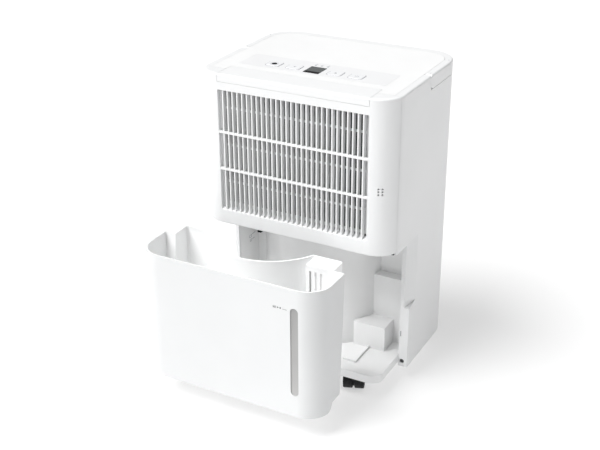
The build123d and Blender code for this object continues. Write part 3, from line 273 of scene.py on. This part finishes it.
LOOKS = (
    moulded("casing", (0.850, 0.856, 0.860), 0.36, coat=0.10),
    moulded("top", (0.865, 0.868, 0.868), 0.40, grain=0.00004, grain_scale=1900),
    moulded("grille", (0.87, 0.875, 0.878), 0.34, soften=0.0003),
    moulded("panel", (0.864, 0.868, 0.875), 0.34, grain=0.00001, soften=0.0002, coat=0.2),
    moulded("key", (0.855, 0.862, 0.875), 0.34, grain=0.00001, soften=0.0004, coat=0.2),
    moulded("bay", (0.90, 0.903, 0.903), 0.46, grain=0.00005, grain_scale=2200),
    moulded("black", (0.008, 0.008, 0.009), 0.45, soften=0.0005, Specular_IOR_Level=0.3),
    moulded("fan", (0.06, 0.06, 0.065), 0.5),
    moulded("foam", (0.82, 0.82, 0.79), 0.85, grain=0.0002, grain_scale=900),
    metal("steel", (0.56, 0.57, 0.58), 0.38),
    metal("screw", (0.13, 0.13, 0.135), 0.42),
    metal("copper", (0.72, 0.36, 0.22), 0.37),
    metal("fins", (0.66, 0.67, 0.68), 0.38, (1, 1, 8)),
    moulded("magnet", (0.05, 0.05, 0.055), 0.7, grain=0.0001, grain_scale=1500),
    moulded("board", (0.03, 0.16, 0.07), 0.35, grain=0.00005, grain_scale=800),
    moulded("pot", (0.012, 0.012, 0.013), 0.34, grain=0.00006, grain_scale=500, coat=0.4),
    make_tank_plastic(),
    make_rubber(),
    make_frosted(),
    make_display(),
    make_net(),
    make_lamp(),
    # ink for the printed symbols, also used as painted shade in the slots beside the bay
    ink_or_painted_shade("ink_and_painted_shade", (0.16, 0.165, 0.17)),
    # painted shade for the seams round the keys
    ink_or_painted_shade("seam_painted_shade", (0.30, 0.31, 0.34)),
    ink_or_painted_shade("pale_ink", (0.42, 0.43, 0.45)),
    # painted light: a faint glow on the float cage's screen, which is no lamp
    moulded("screen_painted_glow", (0.74, 0.74, 0.735), 0.6, grain=0.00005, grain_scale=900,
            Emission_Color=(1.0, 1.0, 1.0, 1.0), Emission_Strength=0.22),
    ink_or_painted_shade("label", (0.70, 0.71, 0.72), 0.35),
)
MATERIALS = {tree.name: tree.mat for tree in LOOKS}

NODE_LOOKS = {
    "casing": ("cabinet_shell", "front_cover", "carry_handle", "filter_grip", "outlet_grille"),
    "top": ("top_cover",),
    "grille": ("intake_grille", "filter_frame"),
    "panel": ("control_panel",),
    "key": tuple(key + "_button" for key in KEYS),
    "tank": ("tank_shell", "float_cage"),
    "bay": ("bay_liner", "base_tray", "divider", "drip_tray", "fan_shroud", "drain_port"),
    "black": ("caster_sockets", "capacitor", "humidity_sensor", "tank_sensor", "cord_inlet", "drip_spout",
              "mode_button_lens") + tuple("caster_hood_" + c for c in CASTERS),
    "rubber": ("drain_plug", "compressor_mounts") + tuple("caster_wheels_" + c for c in CASTERS),
    "screw": ("case_screws",),
    "steel": ("handle_pins", "fan_shaft", "fan_motor") + tuple("caster_axle_" + c for c in CASTERS),
    "frosted": ("tank_window",),
    "display": ("display_window",),
    "net": ("filter_mesh",),
    "lamp": ("indicator_lamps",),
    "copper": ("refrigerant_pipes",),
    "fins": ("evaporator", "condenser"),
    "magnet": ("float_magnet",),
    "foam": ("float",),
    "board": ("control_board", "power_board"),
    "pot": ("compressor",),
    "fan": ("fan_wheel",),
}
for look, names in NODE_LOOKS.items():
    for node in names:
        slots = NODES[node].data.materials
        slots.clear()
        slots.append(MATERIALS[look])


# ---------------------------------------------------------------- small pieces, in mm
def plane(origin, across, up):
    """The matrix of a plane with its own u, v and outward directions."""
    across, up = Vector(across).normalized(), Vector(up).normalized()
    turn = Matrix((across, up, across.cross(up))).transposed().to_4x4()
    return Matrix.Translation(Vector(origin) * MM) @ turn


def level_plane(node, height=None):
    """A plane over the middle of a node, at its top or at another height, with v to the rear."""
    low, high = corners(node)
    height = high.z if height is None else height
    return plane(((low.x + high.x) / 2, (low.y + high.y) / 2, height), RIGHT, BACK)


def oval(radius, count=28, flat=1.0):
    turns = [2 * math.pi * i / count for i in range(count)]
    return [(radius * math.cos(a), radius * flat * math.sin(a)) for a in turns]


def rounded(width, height, radius, centre=(0.0, 0.0)):
    points, steps = [], 5
    for k, (sx, sy) in enumerate(((1, 1), (-1, 1), (-1, -1), (1, -1))):
        for i in range(steps + 1):
            a = math.pi / 2 * (k + i / steps)
            points.append((centre[0] + sx * (width / 2 - radius) + radius * math.cos(a),
                           centre[1] + sy * (height / 2 - radius) + radius * math.sin(a)))
    return points


def bar(width, height, centre=(0.0, 0.0)):
    signs = ((-1, -1), (1, -1), (1, 1), (-1, 1))
    return [(centre[0] + sx * width / 2, centre[1] + sy * height / 2) for sx, sy in signs]


def arc_band(outer, inner, start, end):
    """A band between two arcs, from one angle in degrees to another."""
    steps = 24
    turns = [math.radians(start + (end - start) * i / steps) for i in range(steps + 1)]
    return ([(outer * math.cos(a), outer * math.sin(a)) for a in turns]
            + [(inner * math.cos(a), inner * math.sin(a)) for a in reversed(turns)])


def prism(b, at, outline, depth, hole=None):
    """One raised shape on a plane; its hole has as many points as its outline."""
    def ring(points):
        return [[b.verts.new(at @ (Vector((u, v, h)) * MM)) for u, v in points] for h in (0.0, depth)]

    low, high = ring(outline)
    pairs = [(low, high)]
    if hole:
        inner_low, inner_high = ring(hole)
        pairs += [(high, inner_high), (inner_high, inner_low), (inner_low, low)]
    else:
        b.faces.new(high)
        b.faces.new(low[::-1])
    for first, second in pairs:
        for i in range(len(first)):
            j = (i + 1) % len(first)
            b.faces.new((first[i], first[j], second[j], second[i]))


def piece(name, body, look, shapes, edge=0.0):
    """A piece of several prisms, each (plane, outline, depth) or (plane, outline, depth, hole).

    The edge is the radius that rounds its sharp edges.
    """
    b = bmesh.new()
    for shape in shapes:
        prism(b, *shape)
    bmesh.ops.recalc_face_normals(b, faces=b.faces)
    mesh = bpy.data.meshes.new(name)
    b.to_mesh(mesh)
    b.free()
    mesh.materials.append(MATERIALS[look])
    o = bpy.data.objects.new(name, mesh)
    bpy.context.scene.collection.objects.link(o)
    if edge:
        rounding = o.modifiers.new("edge", "BEVEL")
        rounding.width, rounding.segments, rounding.limit_method = edge * MM, 3, "ANGLE"
    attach(o, body)


def make_key_marks():
    """Generic symbols on the keys: less, more, power, and a ring round the first key's lens."""
    tip, half = 1.5, 2.0
    piece("down_mark", "down_key", "pale_ink",
          [(level_plane("down_button"), [(0, -tip), (half, tip), (-half, tip)], FILM)])
    piece("up_mark", "up_key", "ink_and_painted_shade",
          [(level_plane("up_button"), [(0, tip), (-half, -tip), (half, -tip)], FILM)])
    at = level_plane("power_button")
    piece("power_mark", "power_key", "pale_ink",
          [(at, arc_band(2.5, 2.0, 120, 420), FILM), (at, bar(0.5, 2.4, (0, 1.6)), FILM)])
    piece("mode_ring", "mode_key", "pale_ink",
          [(level_plane("mode_button"), oval(5.6), FILM, oval(5.2))])


def make_key_outlines():
    """A fine grey line round every key: painted shade where the seam round the key lies."""
    inset, line = 0.9, 0.45         # from the edge of a key's hidden flange to the line, and its width
    height = corners("control_panel")[1].z
    shapes = []
    for key in KEYS:
        low, high = corners(key + "_button")
        width, depth = high.x - low.x - 2 * inset, high.y - low.y - 2 * inset
        shapes.append((level_plane(key + "_button", height),
                       rounded(width + 2 * line, depth + 2 * line, 3.8), FILM, rounded(width, depth, 3.4)))
    piece("key_outlines", "cabinet", "seam_painted_shade", shapes)


def make_lamp_marks():
    """A small symbol behind each lamp."""
    lamp, behind = 3.0, 2.6
    height = corners("control_panel")[1].z
    low, high = corners("indicator_lamps")
    middle, apart = (low.x + high.x) / 2, (high.x - low.x - lamp) / 2
    marks = (oval(1.2, flat=0.7), bar(2.4, 0.7), oval(1.1))
    piece("lamp_marks", "cabinet", "pale_ink",
          [(plane((middle + side * apart, high.y + behind, height), RIGHT, BACK), mark, FILM)
           for side, mark in zip((-1, 0, 1), marks)])


def make_level_mark():
    """Beside the level window: a generic full-tank symbol, an arrow head, and a short line."""
    low, high = corners("tank_window")
    front = corners("tank_shell")[0].y
    at = plane(((low.x + high.x) / 2, front, high.z - 3.4), RIGHT, UP)
    vessel, arrow, block, line = -26.5, -22.8, -18.4, -12.5      # from the window's middle
    piece("level_mark", "tank", "ink_and_painted_shade", [
        (at, bar(4.0, 2.8, (vessel, 0)), FILM, bar(3.0, 1.9, (vessel, 0))),
        (at, bar(3.0, 0.8, (vessel, -0.4)), FILM),
        (at, [(arrow, 1.3), (arrow, -1.3), (arrow + 2.6, 0)], FILM),
        (at, bar(1.6, 2.4, (block, 0)), FILM),
        (at, bar(6.0, 0.4, (line, -0.8)), FILM)])


def make_tank_ledge():
    """The broad rim inside the right end of the tank's mouth, in front of the float cage."""
    high = corners("tank_shell")[1]
    cage_low, cage_high = corners("float_cage")
    inner, rear = high.x - 2.6, cage_low.y - 3.2
    outline = [(cage_high.x + 3.0, rear), (inner - 9.0, rear - 9.0), (inner - 6.0, rear - 21.0),
               (inner - 1.0, rear - 33.0), (inner, rear - 32.0), (inner, rear)]
    piece("tank_rim_ledge", "tank", "tank",
          [(plane((0, 0, high.z - 2.4), RIGHT, BACK), outline, 2.1)], edge=0.6)


def make_cage_screen():
    """A pale screen behind the slots of the float cage; it glows faintly though it is no lamp, which is
    painted light.
    """
    low, high = corners("float_cage")
    at = plane(((low.x + high.x) / 2 + 1.0, low.y + 2.6, (low.z + high.z) / 2), RIGHT, UP)
    outline = rounded(high.x - low.x - 14.0, high.z - low.z - 10.0, 1.0)
    piece("cage_screen", "tank", "screen_painted_glow", [(at, outline, 0.5)])


def make_bay_symbols():
    """Two small raised symbols on the bay's left wall, each a frame with a line beside it."""
    wall = corners("bay_liner")[0].x + 2.5
    behind, above = BAY_MARK
    at = plane((wall, corners("front_cover")[0].y + behind, above), BACK, UP)
    high, line = 0.25, 0.7
    upper, lower = (-3.0, 3.4), (-2.0, -3.2)
    piece("bay_symbols", "cabinet", "pale_ink", [
        (at, rounded(6.0, 4.2, 1.2, upper), high, rounded(4.8, 3.0, 0.8, upper)),
        (at, bar(9.0, line, (5.5, 5.2)), high),
        (at, rounded(5.0, 3.6, 1.2, lower), high, rounded(3.8, 2.4, 0.8, lower)),
        (at, bar(6.0, line, (5.0, -2.6)), high)])


def make_side_fittings():
    """On each side, the catch under the front cover's seam, and a dark film painted where the slot beside
    the bay is: painted shade for the slot.
    """
    low, high = corners("front_cover")
    out, behind, above = EDGE_SLOT_SHADE
    for side, name in ((-1, "left"), (1, "right")):
        at = plane((side * (high.x - 4.2), high.y - 0.6, low.z - 2.4), RIGHT, BACK)
        piece("cover_catch_" + name, "cabinet", "black",
              [(at, rounded(4.0, 3.2, 0.6), 2.6)], edge=0.3)
        # painted shade: a flat dark film where the slot's shade falls
        at = plane((side * out, low.y + behind, above), RIGHT, UP)
        piece("edge_slot_shade_" + name, "cabinet", "ink_and_painted_shade", [(at, rounded(1.1, 8.5, 0.5), FILM)])


def make_handle_dots():
    """The small moulding points on top of the handle's two arms."""
    low, high = corners("carry_handle")
    shapes = []
    for side in (-1, 1):
        for behind in (8.0, 70.0):
            at = plane((side * (high.x - 5.0), low.y + behind, high.z), RIGHT, BACK)
            shapes.append((at, oval(0.9, count=16), FILM))
    piece("handle_dots", "handle", "pale_ink", shapes)


def make_hub_caps():
    """A raised ring and a round cap on the outer face of every caster wheel."""
    joints = {j["name"]: j for j in frame["record"]["behaviour"]["joints"]}
    for caster in CASTERS:
        roll = joints["roll_" + caster]
        middle, axle = Vector(roll["pos_m"]) / MM, Vector(roll["axis"]).normalized()
        shapes = []
        for side in (-1, 1):
            out = side * axle
            at = plane(middle + out * HUB_FACE, Vector(UP).cross(out), UP)
            shapes += [(at, oval(8.6, count=40), 0.35, oval(7.6, count=40)), (at, oval(3.4, count=32), 0.5)]
        piece("hub_caps_" + caster, "wheels_" + caster, "black", shapes, edge=0.15)


def make_rear_plate():
    """A blank plate with a raised border, on the rear."""
    sideways, above = REAR_PLATE
    at = plane((sideways, corners("cabinet_shell")[1].y, above), (-1, 0, 0), UP)
    piece("rear_plate", "cabinet", "label", [(at, rounded(64, 34, 3.0), 0.15)])
    piece("rear_plate_border", "cabinet", "pale_ink",
          [(at, rounded(60, 30, 2.0), 0.22, rounded(59, 29, 1.6))])


for make in (make_key_marks, make_key_outlines, make_lamp_marks, make_level_mark, make_tank_ledge,
             make_cage_screen, make_bay_symbols, make_side_fittings, make_handle_dots, make_hub_caps,
             make_rear_plate):
    make()


# ---------------------------------------------------------------- floor, light and camera
ROOM = 0.10                     # strength of the room's even light
# azimuth right of the front, elevation, power and spread of each soft source, angles in degrees
LIGHTS = {
    "key": (-40, 58, 1.16, 36),
    "front": (-10, 34, 0.13, 40),
    "top": (0, 88, 0.08, 60),
    "side": (112, 36, 0.13, 40),
}
# the photo's camera: metres, then azimuth right of the front, elevation and roll in degrees, then lens in mm
CAMERA_PLACE = (0.5911, -1.1863, 0.8242)
CAMERA_TURN = (28.269, 25.615, -0.354)
CAMERA_LENS = 64.46


def toward(azimuth, elevation):
    """The direction from the object to this azimuth right of the front and this elevation, in radians."""
    return Vector((math.sin(azimuth) * math.cos(elevation), -math.cos(azimuth) * math.cos(elevation),
                   math.sin(elevation)))


def make_floor():
    """One large pale sheet, a little below the casters' contact so that the two never coincide."""
    mesh = bpy.data.meshes.new("floor")
    b = bmesh.new()
    bmesh.ops.create_grid(b, x_segments=8, y_segments=8, size=6.0)
    bmesh.ops.translate(b, verts=b.verts, vec=(0, 0, -0.2 * MM))
    b.to_mesh(mesh)
    b.free()
    floor = bpy.data.objects.new("floor", mesh)
    bpy.context.scene.collection.objects.link(floor)
    t = Tree("floor_paper").set(Emission_Color=(1, 1, 1, 1), Emission_Strength=0.50)
    t.colour(t.blend(t.noise(3, 2.0), (0.48, 0.48, 0.48), (0.50, 0.50, 0.50)))
    t.rough(0.9, 0.02, 40)
    t.bump(t.noise(900, 2.0), 0.00002, 0.3)
    mesh.materials.append(t.mat)


def sun(name, azimuth, elevation, power, spread):
    """A large soft source, from azimuth degrees right of the front and elevation degrees up."""
    lamp = bpy.data.lights.new(name, "SUN")
    lamp.energy, lamp.angle = power * math.pi, math.radians(spread)
    away = toward(math.radians(azimuth), math.radians(elevation))
    o = bpy.data.objects.new(name, lamp)
    o.rotation_euler = away.to_track_quat("Z", "Y").to_euler()
    o.location = away * 2
    bpy.context.scene.collection.objects.link(o)


def make_light():
    """An even dim room, and soft sources: the key from the front left and high up, and three weak ones."""
    world = bpy.data.worlds.new("studio")
    world.use_nodes = True
    background = world.node_tree.nodes["Background"]
    background.inputs["Color"].default_value = (1.0, 1.0, 1.0, 1.0)
    background.inputs["Strength"].default_value = ROOM
    bpy.context.scene.world = world
    for name, values in LIGHTS.items():
        sun(name, *values)


def make_camera():
    """The photo's camera, from the values above."""
    azimuth, elevation, roll = (math.radians(a) for a in CAMERA_TURN)
    ahead = -toward(azimuth, elevation)
    right = Vector((math.cos(azimuth), math.sin(azimuth), 0))
    up = right.cross(ahead)
    across = math.cos(roll) * right + math.sin(roll) * up
    upward = -math.sin(roll) * right + math.cos(roll) * up
    data = bpy.data.cameras.new("camera")
    data.sensor_width, data.lens = 36.0, CAMERA_LENS
    data.clip_start, data.clip_end = 0.05, 50
    cam = bpy.data.objects.new("camera", data)
    turn = Matrix((across, upward, -ahead)).transposed().to_4x4()
    cam.matrix_world = Matrix.Translation(CAMERA_PLACE) @ turn
    bpy.context.scene.collection.objects.link(cam)
    bpy.context.scene.camera = cam


make_floor()
make_light()
make_camera()
bpy.context.scene.view_settings.view_transform = "Standard"
